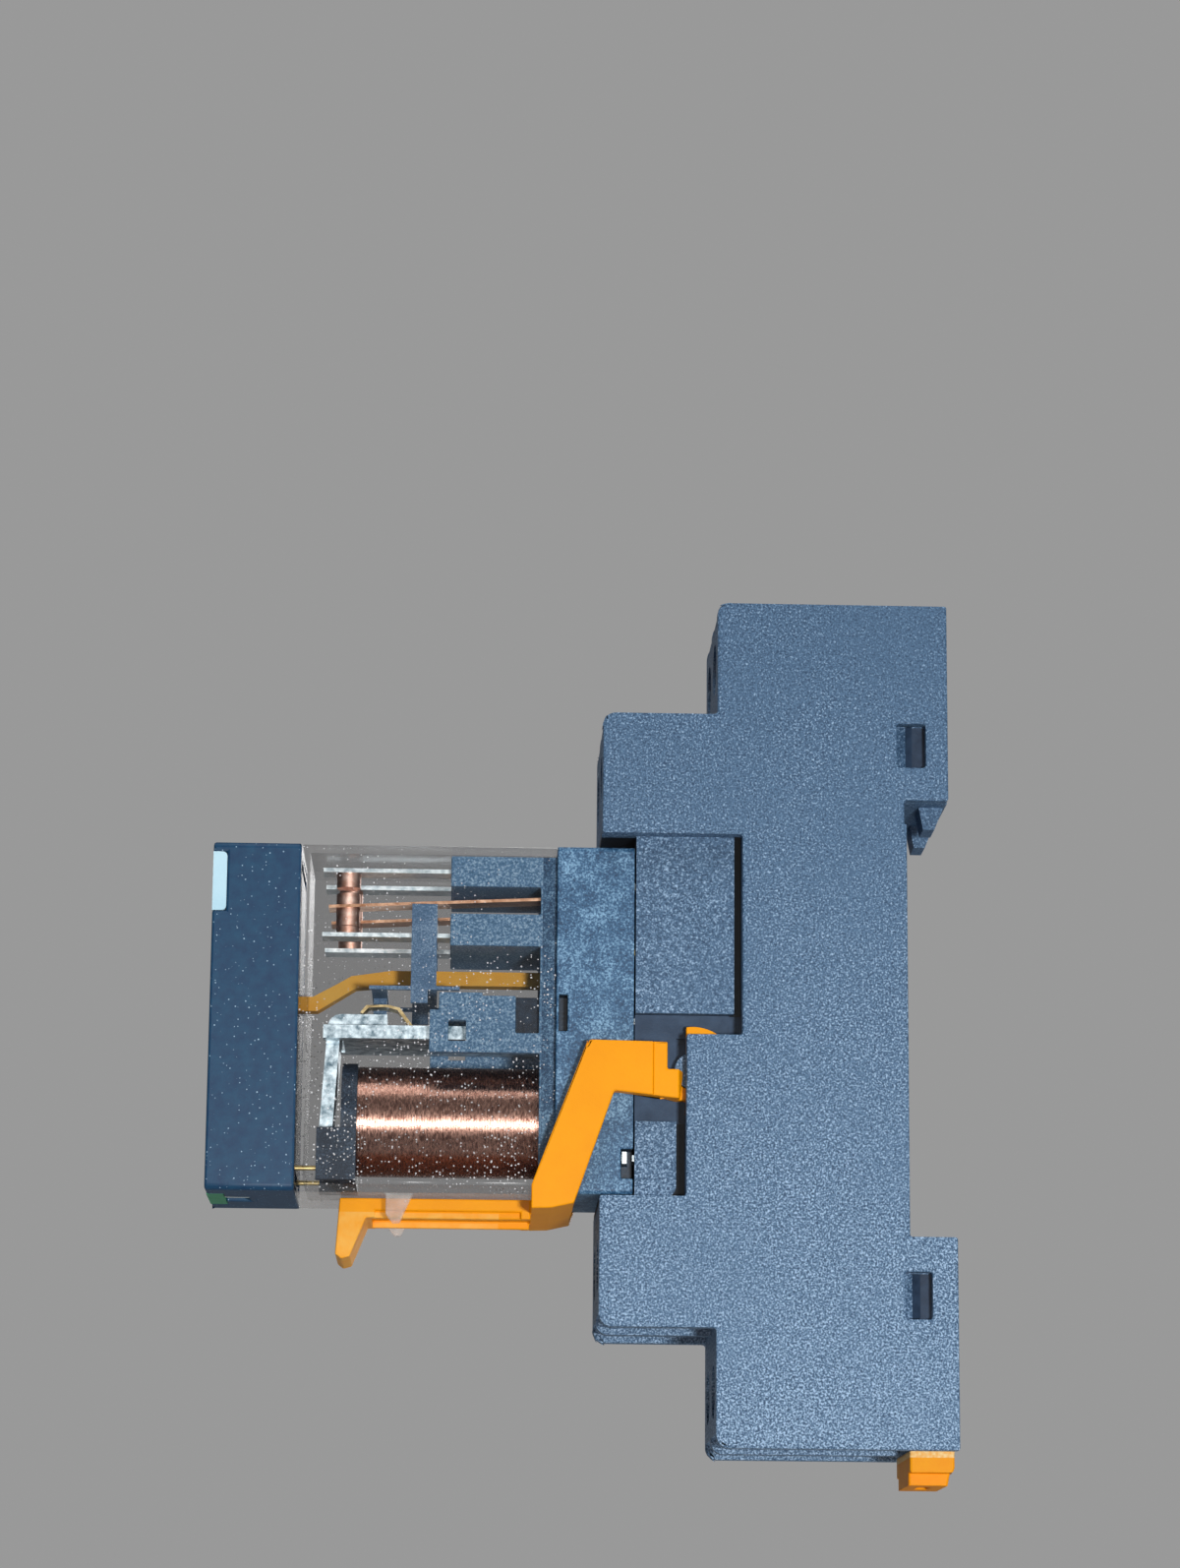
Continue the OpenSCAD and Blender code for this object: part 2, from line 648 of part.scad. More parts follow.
module moving_rivets() color([0.85, 0.55, 0.42]) difference() {
  both_sides() rivet(break_face + strip_gap, moving_top);
  moving_blade_pair();
}

comb_half = inner_half - 0.1;
comb_top = relay_z + relay_h / 2 - cover_t - 0.1;
comb_low = 1.4;
cheek_in = 4.75;
lever_half = 0.8;
lever_low = relay_z + 3.6;
lever_high = relay_z + 4.8;

// Cheeks of the base that carry the yoke, with their openings
module base_cheek() {
  z = relay_z;
  difference() {
    polygon([[comb_front - 1.6, z - 2.8], [base_front, z - 2.8], [base_front, z + 1.95],
      [comb_front + 2.75, z + 1.95], [comb_front + 2.75, z + 2.2], [comb_front - 0.85, z + 2.2],
      [comb_front - 0.85, z + 0.75], [comb_front - 1.6, z + 0.75]]);
    translate([comb_front - 0.05, z - 1.85]) square([1.45, 1.75]);
  }
}

// Edge of the base block that fits inside the cover
rim_in = 5;
rim_l = 1.35;
flange_half = 5.3;
flange_room = flange_half + 0.1;
cheek_slot_d = 0.7;

module relay_base() color([0.27, 0.36, 0.46]) {
  difference() {
    union() {
      relay_block(base_front, base_back, relay_half, relay_h / 2, 0.4);
      slab(-comb_half, comb_half) {
        translate([comb_front, make_strip_z - comb_low])
          square([base_front - comb_front + eps, comb_top - make_strip_z + comb_low]);
        translate([comb_front, break_strip_z - 0.95]) square([base_front - comb_front + eps, 2.7]);
      }
      both_sides() {
        slab(cheek_in, comb_half) base_cheek();
        slab(rim_in, comb_half) translate([base_front - rim_l, relay_z - 2.8])
          square([rim_l + eps, comb_top - relay_z + 2.8]);
        slab(flange_room, comb_half) translate([base_front - rim_l, 2 * relay_z - comb_top])
          square([rim_l + eps, comb_top - relay_z]);
      }
    }
    strip_pair(strip_front, make_strip_z, contact_t, make_z, strip_gap);
    strip_pair(strip_front, break_strip_z, contact_t, break_z, strip_gap);
    strip_pair(flex_x, root_z, contact_t, common_z, strip_gap);
    both_sides() coil_blade_shape(strip_gap);
    // Room for the flexing ends of the moving blades
    both_sides() block(base_front - 1, flex_x + 0.1, row_y - 1.3, row_y + 1.3,
      root_z - 0.5, root_z + 0.5);
    // Pocket for the bobbin's rear flange and the yoke
    block(base_front - 1, coil_back + flange_t + yoke_t + 0.15, -cheek_in, cheek_in,
      coil_axis_z - 4.9, yoke_top + 0.1);
    block(base_front - rim_l - 1, coil_back + flange_t + 0.05, -flange_room, flange_room,
      coil_axis_z - 4.9, coil_axis_z + 5);
    // Slot that guides the test lever
    block(base_front - 10, base_front + 2.4, -lever_half - run_gap, lever_half + run_gap,
      lever_low - run_gap, lever_high + run_gap);
    both_sides() {
      block(base_front + 0.2, base_front + 0.95, rim_in, relay_half + 1,
        relay_z - 1.05, relay_z + 2);
      block(base_front - rim_l - 2, base_front - rim_l - 0.05, comb_half - cheek_slot_d, comb_half + 1,
        relay_z - 1.15, relay_z + 2);
      block(base_back - 1, base_back + 1, row_y + blade_w / 2 + 0.1, relay_half + 1,
        coil_z - 1.9, coil_z + 0.55);
    }
  }
}

lug_in = bar_w / 2 + 0.25;
lug_out = lug_in + 1.2;
rim_d = 1.2;
rim_t = 0.8;

module relay_cover() color([0.85, 0.88, 0.92, 0.35]) {
  half_z = relay_h / 2;
  difference() {
    union() {
      relay_block(cover_front, base_front, relay_half, half_z, 0.9);
      relay_block(cover_front - rim_d, cover_front + eps, relay_half - cap_t - 0.1,
        half_z - cap_t - 0.1, 0);
      // Catch lugs beside the clip's bar
      both_sides() slab(lug_in, lug_out) translate([cover_front + 7.5, relay_z - half_z])
        polygon([[0, 0.3], [0, -1.7], [0.6, -2.4], [1.2, -2.35], [2.35, 0.3]]);
    }
    relay_block(cover_front + cover_t, base_front + 1, inner_half, half_z - cover_t, 0.2);
    relay_block(cover_front - 2, cover_front, relay_half - cap_t - 0.1 - rim_t,
      half_z - cap_t - 0.1 - rim_t, 0);
    block(cover_front - 1, cover_front + 1, -lever_half - run_gap, lever_half + run_gap,
      lever_tail_z - 0.6 - run_gap, lever_tail_z + 0.6 + run_gap);
    both_sides() translate([cover_front - 1, lead_y, lead_z]) rotate([0, 90, 0])
      cylinder(r = lead_r + strip_gap, h = 3, $fn = coarse);
  }
}

lever_tail_z = relay_z + 1.9;
lead_y = 4.9;
lead_z = coil_axis_z - 4.55;
lead_r = 0.2;
button_r = 1.6;
button_l = 2;
tag_d = 1.15;
tag_z = relay_z + 8.7;
tag_h = 4.95;
window_d = 1.4;
window_h = 2.6;
window_half = 3.3;
cap_face = 2.4;
lamp_l = 2.6;

module relay_cap() color([0.17, 0.28, 0.38]) {
  half_z = relay_h / 2;
  difference() {
    relay_block(cap_front, cover_front, relay_half, half_z, 0.5);
    relay_block(cap_front + cap_face, cover_front + 1, relay_half - cap_t, half_z - cap_t, 0);
    block(cap_front - 1, cap_front + tag_d, -relay_half - 1, relay_half + 1, tag_z, tag_z + tag_h);
    block(cap_front - 1, cap_front + window_d, -window_half, window_half,
      relay_z - half_z - 1, relay_z - half_z + window_h);
    translate([cap_front - 1, 0, relay_z - half_z + window_h / 2]) rotate([0, 90, 0])
      cylinder(r = 1.25, h = 5, $fn = coarse);
    translate([cap_front - 1, 0, lever_tail_z]) rotate([0, 90, 0])
      cylinder(r = button_r + run_gap, h = 5, $fn = coarse);
    // Wedge under the lamp
    slab(-1.3, 1.3) translate([cap_front + window_d, relay_z - half_z])
      polygon([[-eps, -eps], [-eps, window_h / 2], [0.6, window_h / 2], [2.2, -eps]]);
  }
}

module marker_tag() color([0.93, 0.95, 0.98])
  slab(-relay_half, relay_half) difference() {
    translate([cap_front, tag_z]) square([tag_d, tag_h]);
    corner_off(cap_front + tag_d, tag_z, 1, -1, 0.4);
    corner_off(cap_front + tag_d, tag_z + tag_h, 1, 1, 0.4);
  }

module status_window() color([0.2, 0.6, 0.4])
  block(cap_front, cap_front + window_d, -window_half, window_half,
    relay_z - relay_h / 2, relay_z - relay_h / 2 + window_h);

module status_lamp() color([0.9, 0.95, 0.9])
  translate([cap_front + window_d, 0, relay_z - relay_h / 2 + window_h / 2]) rotate([0, 90, 0]) {
    cylinder(r = 1.15, h = lamp_l, $fn = coarse);
    for (s = [-0.6, 0.6]) translate([0, s, lamp_l])
      cylinder(r = 0.2, h = cap_d - window_d - lamp_l - rim_d, $fn = 12);
  }

module along_x(x0, x1) {
  translate([x0, 0, coil_axis_z]) rotate([0, 90, 0]) linear_extrude(height = x1 - x0) children();
}

tube_r = core_r + 0.6;
flange_half_z = 4.75;

// How far the bobbin's foot and horns reach
foot_low = 5.5;
horn_front = flange_front - 1.95;

module bobbin() color([0.3, 0.4, 0.52]) {
  difference() {
    union() {
      along_x(flange_front, coil_back + flange_t) circle(tube_r, $fn = fine);
      block(coil_back, coil_back + flange_t, -flange_half, flange_half,
        coil_axis_z - flange_half_z, coil_axis_z + flange_half_z);
      along_x(flange_front, coil_front) circle(flange_half_z + 0.1, $fn = fine);
      block(flange_front, coil_front, -flange_half, flange_half,
        coil_axis_z - foot_low, coil_axis_z - 1.2);
      both_sides() block(horn_front, flange_front + eps, 4.5, flange_half,
        coil_axis_z - foot_low, coil_axis_z - 1.2);
    }
    along_x(flange_front - 1, coil_back + flange_t + 1) circle(core_r, $fn = fine);
  }
}

module coil_winding() color([0.78, 0.42, 0.25])
  along_x(coil_front, coil_back) difference() {
    circle(coil_r, $fn = fine);
    circle(tube_r, $fn = fine);
  }

module coil_core() color([0.7, 0.71, 0.73])
  along_x(pole_x, coil_back + flange_t + yoke_t) circle(core_r, $fn = fine);

yoke_half = 4.5;
leg_half = 3;
leg_l = 11.8;
limb_l = 3.85;

module yoke() color([0.72, 0.74, 0.76]) {
  back = coil_back + flange_t;
  difference() {
    union() {
      block(yoke_front, back + yoke_t, -yoke_half, yoke_half, yoke_top - yoke_t, yoke_top);
      block(back, back + yoke_t, -2.3, 2.3, coil_axis_z - 1.9, yoke_top - yoke_t + eps);
    }
    block(yoke_front - 1, leg_x + 0.25, -leg_half - run_gap, leg_half + run_gap,
      yoke_top - yoke_t - 1, yoke_top + 1);
    along_x(back - 1, back + yoke_t + 1) circle(core_r, $fn = fine);
  }
}

// Bent plate: a flat limb on the yoke, and a leg that leans out at rest
module armature() color([0.74, 0.75, 0.77]) {
  bend = [for (i = [0:4]) 90 + i * (90 + armature_rest) / 4];
  foot = [leg_x - leg_l * sin(armature_rest), tilt_z - leg_l * cos(armature_rest)];
  slab(-leg_half, leg_half) polygon(concat([[leg_x, tilt_z], [leg_x + limb_l, tilt_z],
    [leg_x + limb_l, tilt_z + armature_t]],
    [for (a = bend) [leg_x + armature_t * cos(a), tilt_z + armature_t * sin(a)]],
    [[foot[0] + armature_t * cos(bend[4]), foot[1] + armature_t * sin(bend[4])], foot]));
}

module return_spring() color([0.9, 0.84, 0.62]) {
  z = tilt_z + armature_t;
  t = 0.2;
  slab(-3.2, -1.4) polygon([[leg_x + 6.9, yoke_top], [leg_x + 5.8, yoke_top], [leg_x + 4.7, z + 0.35],
    [leg_x + 3.8, z + 0.6], [leg_x + 2.3, z + 0.55], [leg_x + 1.8, z + 0.02], [leg_x + 1.6, z + 0.15],
    [leg_x + 2.1, z + 0.55 + t], [leg_x + 3.9, z + 0.6 + t], [leg_x + 4.9, z + 0.35 + t],
    [leg_x + 6, yoke_top + t], [leg_x + 6.9, yoke_top + t]]);
}

module coil_lead() color([0.85, 0.7, 0.35]) {
  both_sides() translate([cover_front - 1, lead_y, lead_z]) rotate([0, 90, 0])
    cylinder(r = lead_r, h = horn_front - cover_front + 1, $fn = 12);
}

card_x = comb_front - 2.15;
card_half_d = 1.05;
card_in = 5.1;
card_out = inner_half - 0.2;
card_rail = 0.3;

module actuator_card() color([0.36, 0.46, 0.6]) {
  top = blade_z(card_x - card_half_d) - moving_t / 2 - strip_gap;
  low = break_strip_z + contact_t / 2 + 0.35;
  foot = relay_z + 2.4;
  slab(-card_out, card_out) {
    translate([card_x - card_half_d, low]) square([2 * card_half_d, top - low]);
    translate([leg_x + limb_l - 1.3, foot]) square([1.3, card_rail]);
  }
  both_sides() slab(card_in, card_out) {
    translate([leg_x + limb_l - 1.5, foot]) square([card_x + 3 - leg_x - limb_l + 1.5, card_rail]);
    translate([card_x - card_half_d, foot]) square([2 * card_half_d, top - foot - 0.5]);
    translate([card_x - card_half_d, foot - 1.1]) square([1.4, 1.1 + eps]);
  }
  block(leg_x + limb_l - 1.2, leg_x + limb_l - 0.1, -1, 1,
    tilt_z + armature_t + strip_gap, foot + eps);
}

module test_lever() color([0.98, 0.6, 0.1]) slab(-lever_half, lever_half)
  polygon([[cap_front + 0.2 + button_l, lever_tail_z - 0.6], [cover_front + 1.4, lever_tail_z - 0.6],
    [cover_front + 4.6, lever_low - 0.3], [cover_front + 7.7, lever_low],
    [base_front + 1.2, lever_low], [base_front + 1.2, lever_high], [cover_front + 7.6, lever_high],
    [cover_front + 4.2, lever_high - 0.5], [cover_front + 3, lever_high - 1.2],
    [cover_front + 1, lever_tail_z + 0.6], [cap_front + 0.2 + button_l, lever_tail_z + 0.6]]);

module test_button() color([0.98, 0.55, 0.08])
  translate([cap_front + 0.2, 0, lever_tail_z]) rotate([0, 90, 0])
    cylinder(r = button_r, h = button_l, $fn = coarse);

socket_body();
near_side_plate();
far_side_plate();
terminal_screws();
clamp_cages();
contact_strips();
rail_clip();
retaining_clip();
relay_base();
relay_cover();
relay_cap();
marker_tag();
status_window();
status_lamp();
coil_blades();
common_blades();
break_contact_strips();
make_contact_strips();
fixed_rivets();
bobbin();
coil_winding();
coil_core();
yoke();
coil_lead();
armature();
return_spring();
actuator_card();
moving_blades();
moving_rivets();
test_lever();
test_button();
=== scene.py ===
import math

import bpy
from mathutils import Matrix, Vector


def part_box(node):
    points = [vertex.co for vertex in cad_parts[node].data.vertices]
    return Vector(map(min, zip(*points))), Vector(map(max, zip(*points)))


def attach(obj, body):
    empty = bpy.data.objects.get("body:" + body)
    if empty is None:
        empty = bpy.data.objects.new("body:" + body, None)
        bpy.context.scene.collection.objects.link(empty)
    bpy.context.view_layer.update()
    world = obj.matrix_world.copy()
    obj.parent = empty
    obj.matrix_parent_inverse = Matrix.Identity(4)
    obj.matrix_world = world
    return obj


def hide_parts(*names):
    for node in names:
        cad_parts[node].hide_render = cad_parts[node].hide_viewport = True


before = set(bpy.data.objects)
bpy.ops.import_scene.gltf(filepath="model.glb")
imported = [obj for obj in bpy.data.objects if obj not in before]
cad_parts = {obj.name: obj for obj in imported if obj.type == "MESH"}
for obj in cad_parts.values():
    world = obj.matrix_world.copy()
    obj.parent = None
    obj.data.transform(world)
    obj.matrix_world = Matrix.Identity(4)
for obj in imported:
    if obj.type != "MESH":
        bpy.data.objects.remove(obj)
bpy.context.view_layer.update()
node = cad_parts

# The view: a hand-held camera close to the near side, a little below the middle.
camera_data = bpy.data.cameras.new("camera")
camera_data.lens = 95.53
camera_data.sensor_width = 36
camera_data.clip_start = 0.01
camera = bpy.data.objects.new("camera", camera_data)
camera.location = (-0.036351, -0.345425, -0.057618)
camera.rotation_euler = [math.radians(a) for a in (102.8149, -0.4875, -1.7958)]
bpy.context.scene.collection.objects.link(camera)
bpy.context.scene.camera = camera
bpy.context.scene.view_settings.view_transform = "Standard"

# The light: one soft lamp to the right of the camera, a small one close to it that gives
# only gloss, two weak ones above and behind, and a plain grey world.
middle = Vector((-0.027, 0, 0))


def lamp(name, place, size, power):
    """A round lamp that looks at the middle of the part."""
    data = bpy.data.lights.new(name, "AREA")
    data.shape = "DISK"
    data.size = size
    data.energy = power
    made = bpy.data.objects.new(name, data)
    made.location = place
    made.rotation_euler = (middle - Vector(place)).to_track_quat("-Z", "Y").to_euler()
    bpy.context.scene.collection.objects.link(made)
    return made


lamp("key", (0.058, -0.36, -0.066), 0.045, 1.0)
sheen = lamp("sheen", (-0.052, -0.37, -0.078), 0.03, 0.7)
sheen.visible_diffuse = False
lamp("top", (-0.05, -0.15, 0.4), 0.3, 0.9)
lamp("back", (0.1, 0.4, 0.15), 0.3, 0.9)

fill = (0.11, 0.11, 0.12, 1)
backdrop = (0.319, 0.319, 0.319, 1)
world = bpy.data.worlds.new("studio")
bpy.context.scene.world = world
world.use_nodes = True
sky = world.node_tree
path = sky.nodes.new("ShaderNodeLightPath")
seen = path.outputs["Is Camera Ray"]
for ray in ("Is Transmission Ray", "Is Glossy Ray"):
    either = sky.nodes.new("ShaderNodeMath")
    either.operation = "MAXIMUM"
    sky.links.new(seen, either.inputs[0])
    sky.links.new(path.outputs[ray], either.inputs[1])
    seen = either.outputs[0]
mixed = sky.nodes.new("ShaderNodeMix")
mixed.data_type = "RGBA"
sky.links.new(seen, mixed.inputs["Factor"])
mixed.inputs["A"].default_value = fill
mixed.inputs["B"].default_value = backdrop
sky.links.new(mixed.outputs["Result"], sky.nodes["Background"].inputs["Color"])

# The floor: a plain pale sheet well below the part.
bpy.ops.object.select_all(action="DESELECT")
bpy.ops.mesh.primitive_plane_add(size=2.4, location=(0, 0, -0.3))
floor = bpy.context.object
floor.name = "floor"
paint = bpy.data.materials.new("floor")
paint.use_nodes = True
coat = paint.node_tree.nodes["Principled BSDF"]
coat.inputs["Base Color"].default_value = (0.62, 0.62, 0.62, 1)
coat.inputs["Roughness"].default_value = 0.8
floor.data.materials.append(paint)

# Socket body: one moulding of slate-blue polyamide, spark-eroded texture on what shows,
# with the screwdriver wells, wire entries and the relay's well moulded in.


def shade(code):
    """Linear colour of a hex code."""
    parts = [int(code[i:i + 2], 16) / 255 for i in (1, 3, 5)]
    return tuple(c / 12.92 if c <= 0.04045 else ((c + 0.055) / 1.055) ** 2.4 for c in parts) + (1,)


def start(name, rough=0.5, metal=0.0):
    """A new finish: its material, its shader and where a point lies on the object."""
    made = bpy.data.materials.new(name)
    made.use_nodes = True
    shader = made.node_tree.nodes["Principled BSDF"]
    shader.inputs["Roughness"].default_value = rough
    shader.inputs["Metallic"].default_value = metal
    where = made.node_tree.nodes.new("ShaderNodeTexCoord").outputs["Object"]
    return made, shader, where


def add(made, kind, inputs, **settings):
    """One more node; each input is a value or the output that feeds it."""
    new = made.node_tree.nodes.new("ShaderNode" + kind)
    for key, value in settings.items():
        setattr(new, key, value)
    for key, value in inputs.items():
        if isinstance(value, bpy.types.NodeSocket):
            made.node_tree.links.new(value, new.inputs[key])
        else:
            new.inputs[key].default_value = value
    return new


def scaled(made, value, times=1.0, plus=0.0):
    """A value times one factor, plus another value; each can also be an output."""
    return add(made, "Math", {0: value, 1: times, 2: plus}, operation="MULTIPLY_ADD").outputs[0]


def join(made, out, shader, name):
    """Feeds an output into the shader."""
    made.node_tree.links.new(out, shader.inputs[name])


def steps(made, factor, stops):
    """Colours along a range, given as (place, colour) pairs."""
    new = add(made, "ValToRGB", {"Fac": factor})
    bar = new.color_ramp.elements
    while len(bar) < len(stops):
        bar.new(0.5)
    for stop, (place, colour) in zip(bar, stops):
        stop.position = place
        stop.color = shade(colour)
    return new.outputs["Color"]


def grain(made, where, size, detail=2.0, rough=0.5, stretch=(1, 1, 1)):
    """Noise with lumps of a given size in metres."""
    turned = add(made, "Mapping", {"Vector": where, "Scale": stretch}).outputs["Vector"]
    return add(made, "TexNoise", {"Vector": turned, "Scale": 1 / size, "Detail": detail,
                                  "Roughness": rough}).outputs["Fac"]


def relief(made, shader, height, depth):
    """Bump of a given depth in metres."""
    bump = add(made, "Bump", {"Height": height, "Distance": depth, "Strength": 1.0})
    join(made, bump.outputs["Normal"], shader, "Normal")


def textured_plastic(name, dark, middle_tone, glint):
    """Spark-eroded texture: small curled lumps with pale glints, a little worn in places;
    painted light makes it paler towards the foot, with a stronger grain and brighter glints there."""
    lump = 0.00016
    depth = 0.00003
    # Painted light: lower faces get a paler tone and a stronger grain with brighter glints.
    strength_at_middle, painted_glint_per_metre = 0.85, -4.5
    tone_at_middle, painted_light_per_metre = 0.485, -1.5
    made, shader, where = start(name, 0.62)
    shader.inputs["Specular IOR Level"].default_value = 0.25
    fine = add(made, "TexNoise", {"Vector": where, "Scale": 1 / lump, "Detail": 1.0,
                                  "Distortion": 0.6}).outputs["Fac"]
    broad = grain(made, where, 0.012, 1.5)
    height = add(made, "SeparateXYZ", {"Vector": where}).outputs["Z"]
    worn = add(made, "MapRange", {"Value": broad, "From Min": 0.32, "From Max": 0.6,
                                  "To Min": 0.85, "To Max": 1.2}).outputs["Result"]
    strength = scaled(made, worn, scaled(made, height, painted_glint_per_metre, strength_at_middle))
    lift_with_painted_light = scaled(made, height, painted_light_per_metre, tone_at_middle)
    tone = scaled(made, scaled(made, fine, plus=-0.5), strength, lift_with_painted_light)
    colours = steps(made, tone, [(0.30, dark), (0.51, middle_tone), (0.70, glint)])
    join(made, colours, shader, "Base Color")
    relief(made, shader, tone, depth)
    return made


def inside_box(made, low, high):
    """1 inside a box of the shared frame, 0 outside it; the Y limits count from the middle
    plane to either side."""
    where = add(made, "TexCoord", {}).outputs["Object"]
    spot = add(made, "SeparateXYZ", {"Vector": where}).outputs
    away = add(made, "Math", {0: spot["Y"]}, operation="ABSOLUTE").outputs[0]
    hit = None
    for out, a, b in zip((spot["X"], away, spot["Z"]), low, high):
        one = add(made, "Math", {0: out, 1: (a + b) / 2, 2: (b - a) / 2},
                  operation="COMPARE").outputs[0]
        hit = one if hit is None else scaled(made, hit, one)
    return hit


def patch_over(made, low, high, lump, stops):
    """Gives a finish other colours inside a box, and returns where that is."""
    shader = made.node_tree.nodes["Principled BSDF"]
    where = add(made, "TexCoord", {}).outputs["Object"]
    mask = inside_box(made, low, high)
    mixed = add(made, "Mix", {"Factor": mask}, data_type="RGBA")
    before = shader.inputs["Base Color"].links[0].from_socket
    made.node_tree.links.new(before, mixed.inputs["A"])
    made.node_tree.links.new(steps(made, grain(made, where, lump, 3.0), stops), mixed.inputs["B"])
    join(made, mixed.outputs["Result"], shader, "Base Color")
    return mask


def soften(name, width=0.00012):
    """Breaks the sharp edges of a moulded or stamped node."""
    thing = node[name]
    weld = thing.modifiers.new("weld", "WELD")
    weld.merge_threshold = 0.000004
    edge = thing.modifiers.new("edges", "BEVEL")
    edge.width = width
    edge.segments = 2
    edge.limit_method = "ANGLE"
    edge.angle_limit = math.radians(32)
    edge.use_clamp_overlap = False


def dress(name, finish):
    """Gives a CAD node its finish."""
    thing = node[name]
    thing.data.materials.clear()
    thing.data.materials.append(finish)
    for face in thing.data.polygons:
        face.material_index = 0


slate = textured_plastic("slate_body", "#2C4662", "#50708F", "#A4C0DC")
dress("socket_body", slate)

# Deep slots, clip bays and catch wedges of the body: the same moulding. The deep slots are
# painted near black as shade; the bays and wedges are darker than the outer faces. The first
# six values are limits that lie outside the whole part.
ahead, behind = -0.06, 0.02
below, above = -0.04, 0.04
through, beyond = -0.001, 0.02
just_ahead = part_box("socket_body")[0][0] - 0.001
slot_side = 0.0058
slot_half_height = 0.0156
slot_back = -0.008
bay_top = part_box("relay_base")[1][2] - 0.01395
bay_height = 0.009
bay_back = -0.0125
# Painted shade: the deep slots near black.
patch_over(slate, (just_ahead, through, -slot_half_height),
           (slot_back, slot_side, slot_half_height), 0.0012,
           [(0.3, "#0A1018"), (0.7, "#16202C")])
patch_over(slate, (just_ahead, through, bay_top - bay_height),
           (bay_back, slot_side, bay_top), 0.0012,
           [(0.3, "#2C4058"), (0.7, "#3C526C")])
upper_wedge = (0.0, 0.006, 0.0211), (0.00165, 0.009, 0.0247)
lower_wedge = (0.0002, 0.006, -0.0248), (0.0018, 0.009, -0.0211)
for low, high in (upper_wedge, lower_wedge):
    patch_over(slate, low, high, 0.0008, [(0.3, "#1E3046"), (0.7, "#2C4058")])

# Terminals: plated steel screws with a crossed slot and turned heads; each draws up a
# folded steel clamp cage on its wire. Stamped brass strips lead to the relay's blades.


def turned_metal(name, low, high, rough=0.32, size=0.0006, stretch=(1, 1, 1)):
    """Metal with a fine grain that also moves its gloss a little."""
    gloss_drop, gloss_swing = 0.12, 0.25
    made, shader, where = start(name, rough, 1.0)
    fine = grain(made, where, size, 4.0, 0.6, stretch)
    join(made, steps(made, fine, [(0.3, low), (0.7, high)]), shader, "Base Color")
    join(made, scaled(made, fine, gloss_swing, rough - gloss_drop), shader, "Roughness")
    relief(made, shader, fine, 0.000012)
    return made


zinc = turned_metal("zinc", "#A8AEB2", "#DDE2E4")
brass = turned_metal("brass", "#A88F58", "#D9C48C", 0.3)
dress("terminal_screws", zinc)
dress("clamp_cages", turned_metal("cage_plate", "#9C9C94", "#CFCFC6", 0.38))
dress("contact_strips", brass)

# Side plates: two flat mouldings of the same textured polyamide, snapped on
# over the wedges of the body.
for side in ("near", "far"):
    dress(side + "_side_plate",
          textured_plastic("slate_plate_" + side, "#2C4662", "#527291", "#A8C4E0"))
    soften(side + "_side_plate", 0.00018)

# Rail clip: an orange moulded slide that grips the rail from under the foot, with a paler
# band across it.


def bright_plastic(name, low, high, rough=0.45):
    """Smooth bright moulding, a little cloudy."""
    made, shader, where = start(name, rough)
    shader.inputs["Specular IOR Level"].default_value = 0.1
    cloud = grain(made, where, 0.004, 3.0, 0.6)
    fine = grain(made, where, 0.00025, 2.0)
    join(made, steps(made, cloud, [(0.3, low), (0.7, high)]), shader, "Base Color")
    relief(made, shader, fine, 0.000008)
    return made


slide = bright_plastic("clip_orange_rail", "#FA9600", "#FFA800", 0.5)
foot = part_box("rail_clip")[0][2]
band_low, band_high = foot + 0.0022, foot + 0.0056
patch_over(slide, (ahead, through, band_low), (behind, beyond, band_high), 0.0003,
           [(0.3, "#FBB450"), (0.7, "#FFDC9C")])
dress("rail_clip", slide)
soften("rail_clip", 0.00015)

# Retaining clip: one orange moulding; its hubs turn on the body's bosses and
# its bar reaches under the relay. The lower part of the bar is painted paler, as painted light
# from below.
orange = bright_plastic("clip_orange", "#FA9E00", "#FFA600")
bar_back = -0.0335
bar_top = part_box("relay_cover")[0][2] + 0.001
# Painted light: the lower part of the bar gets a paler orange.
patch_over(orange, (ahead, through, below), (bar_back, beyond, bar_top), 0.0012,
           [(0.3, "#FFA92A"), (0.7, "#FFBE55")])
dress("retaining_clip", orange)
soften("retaining_clip", 0.00012)

# Relay base: one moulding of blue-grey thermoplastic with pale scuffs; its combs stand
# inside the cover, painted lighter as painted light, and it has three pockets on each
# cheek, painted dark as painted shade.


def scuffed_plastic(name, low, high, scuff):
    """Smooth moulding with clouds of small pale scuffs."""
    made, shader, where = start(name, 0.5)
    shader.inputs["Specular IOR Level"].default_value = 0.3
    cloud = grain(made, where, 0.0022, 5.0, 0.65)
    fine = grain(made, where, 0.00016, 2.0, 0.6)
    tone = scaled(made, cloud, 0.5, scaled(made, fine, 0.7))
    join(made, steps(made, tone, [(0.42, low), (0.60, high), (0.82, scuff)]), shader, "Base Color")
    relief(made, shader, fine, 0.000015)
    return made


blue = scuffed_plastic("base_blue", "#143656", "#325F84", "#94C0E0")
# Painted light: the combs inside the cover get a lighter copy of the base's colours.
comb_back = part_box("relay_cover")[1][0] - 0.0012
patch_over(blue, (ahead, through, below), (comb_back, beyond, above), 0.00018,
           [(0.30, "#3F6A8E"), (0.5, "#5F8BB0"), (0.72, "#B4D4EC")])
cheek_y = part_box("relay_base")[1][1]
